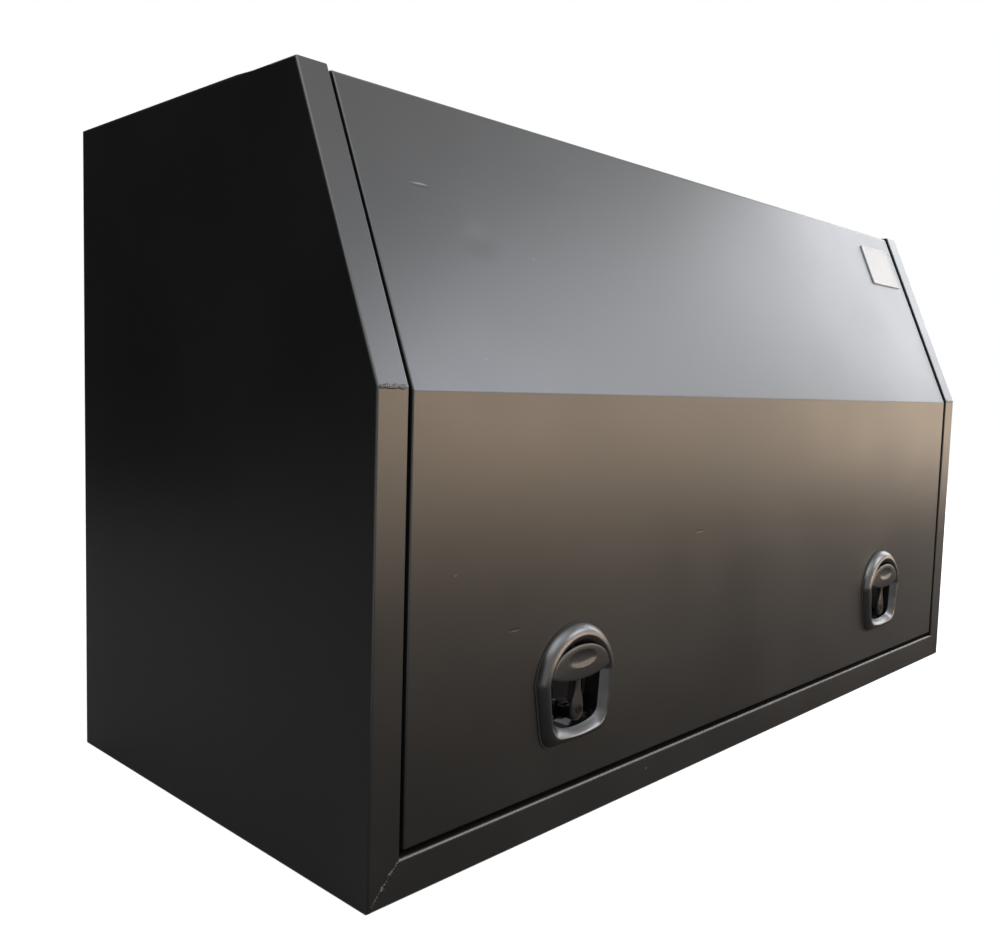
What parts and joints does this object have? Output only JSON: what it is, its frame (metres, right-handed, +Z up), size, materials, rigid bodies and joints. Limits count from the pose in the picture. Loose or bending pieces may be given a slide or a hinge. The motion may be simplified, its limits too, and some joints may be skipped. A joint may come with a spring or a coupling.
{
  "type": "tool box",
  "caption": "Black aluminium tool box with a lid over its sloping front on a continuous hinge, held by gas struts and folding T-handle latches.",
  "frame": {"origin": "middle of the base's underside, between the outside faces of the walls", "axes": "+X along the box to the right as seen from the front, -Y out of the front, +Z up"},
  "size_m": [1.4, 0.6101, 0.8061],
  "materials": {
    "coated_sheet": "satin black powder coat on sheet",
    "rubber": "matt black",
    "badge": "brushed, bare",
    "hinge_steel": "satin",
    "plated_steel": "zinc plated",
    "strut_tube": "satin black",
    "strut_rod": "polished",
    "nylon": "moulded black",
    "latch_bezel": "semi-gloss black",
    "latch_handle": "semi-gloss black",
    "key_brass": "black, bare slot"
  },
  "bodies": {
    "box": {"left_side_panel": "coated_sheet", "right_side_panel": "coated_sheet", "floor_pan": "coated_sheet", "top_panel": "coated_sheet", "back_panel": "coated_sheet", "door_seal": "rubber", "hinge_leaf_body": "hinge_steel", "hinge_pin": "hinge_steel", "left_strut_bracket": "plated_steel", "left_strut_body_stud": "plated_steel", "right_strut_bracket": "plated_steel", "right_strut_body_stud": "plated_steel"},
    "lid": {"lid_skin": "coated_sheet", "lid_hat_left": "coated_sheet", "lid_hat_centre": "coated_sheet", "lid_hat_right": "coated_sheet", "badge_plate": "badge", "hinge_leaf_lid": "hinge_steel", "left_strut_lid_stud": "plated_steel", "left_latch_bezel_pan": "latch_bezel", "left_latch_gasket": "rubber", "left_latch_clamp": "plated_steel", "right_strut_lid_stud": "plated_steel", "right_latch_bezel_pan": "latch_bezel", "right_latch_gasket": "rubber", "right_latch_clamp": "plated_steel"},
    "left_strut_barrel": {"left_strut_tube": "strut_tube", "left_strut_tube_eye": "nylon"},
    "left_strut_piston": {"left_strut_rod": "strut_rod", "left_strut_rod_eye": "nylon"},
    "right_strut_barrel": {"right_strut_tube": "strut_tube", "right_strut_tube_eye": "nylon"},
    "right_strut_piston": {"right_strut_rod": "strut_rod", "right_strut_rod_eye": "nylon"},
    "left_latch_turner": {"left_latch_spindle": "plated_steel", "left_latch_pivot_pin": "plated_steel", "left_latch_cam": "plated_steel", "left_latch_cam_nut": "plated_steel"},
    "left_latch_grip": {"left_latch_handle": "latch_handle"},
    "left_latch_key": {"left_latch_key_plug": "key_brass"},
    "right_latch_turner": {"right_latch_spindle": "plated_steel", "right_latch_pivot_pin": "plated_steel", "right_latch_cam": "plated_steel", "right_latch_cam_nut": "plated_steel"},
    "right_latch_grip": {"right_latch_handle": "latch_handle"},
    "right_latch_key": {"right_latch_key_plug": "key_brass"}
  },
  "joints": [
    {"name": "lid_hinge", "type": "hinge", "parent": "box", "child": "lid", "pos_m": [0, -0.1282, 0.8026], "axis": [-1, 0, 0], "range_deg": [0, 85]},
    {"name": "left_strut_barrel_swing", "type": "hinge", "parent": "box", "child": "left_strut_barrel", "pos_m": [-0.6315, 0.06565, 0.60055], "axis": [-1, 0, 0], "range_deg": [0, 42.5]},
    {"name": "left_strut_piston_swing", "type": "hinge", "parent": "lid", "child": "left_strut_piston", "pos_m": [-0.6315, -0.25176, 0.55134], "axis": [-1, 0, 0], "range_deg": [-42.5, 0]},
    {"name": "right_strut_barrel_swing", "type": "hinge", "parent": "box", "child": "right_strut_barrel", "pos_m": [0.6315, 0.06565, 0.60055], "axis": [-1, 0, 0], "range_deg": [0, 42.5]},
    {"name": "right_strut_piston_swing", "type": "hinge", "parent": "lid", "child": "right_strut_piston", "pos_m": [0.6315, -0.25176, 0.55134], "axis": [-1, 0, 0], "range_deg": [-42.5, 0]},
    {"name": "left_latch_turn", "type": "hinge", "parent": "lid", "child": "left_latch_turner", "pos_m": [-0.408, -0.2796, 0.128], "axis": [0, 1, 0], "range_deg": [0, 90]},
    {"name": "left_latch_lift", "type": "hinge", "parent": "left_latch_turner", "child": "left_latch_grip", "pos_m": [-0.408, -0.2906, 0.128], "axis": [1, 0, 0], "range_deg": [0, 75]},
    {"name": "left_latch_key_turn", "type": "hinge", "parent": "left_latch_grip", "child": "left_latch_key", "pos_m": [-0.408, -0.3066, 0.134], "axis": [0, 1, 0], "range_deg": [0, 90]},
    {"name": "right_latch_turn", "type": "hinge", "parent": "lid", "child": "right_latch_turner", "pos_m": [0.408, -0.2796, 0.128], "axis": [0, 1, 0], "range_deg": [0, 90]},
    {"name": "right_latch_lift", "type": "hinge", "parent": "right_latch_turner", "child": "right_latch_grip", "pos_m": [0.408, -0.2906, 0.128], "axis": [1, 0, 0], "range_deg": [0, 75]},
    {"name": "right_latch_key_turn", "type": "hinge", "parent": "right_latch_grip", "child": "right_latch_key", "pos_m": [0.408, -0.3066, 0.134], "axis": [0, 1, 0], "range_deg": [0, 90]}
  ],
  "couplings": [
    {"joint": "left_strut_barrel_swing", "follows": "lid_hinge", "ratio": 0.5},
    {"joint": "left_strut_piston_swing", "follows": "lid_hinge", "ratio": -0.5},
    {"joint": "right_strut_barrel_swing", "follows": "lid_hinge", "ratio": 0.5},
    {"joint": "right_strut_piston_swing", "follows": "lid_hinge", "ratio": -0.5},
    {"joint": "left_latch_turn", "follows": "left_latch_lift", "ratio": 1.2},
    {"joint": "right_latch_turn", "follows": "right_latch_lift", "ratio": 1.2}
  ]
}
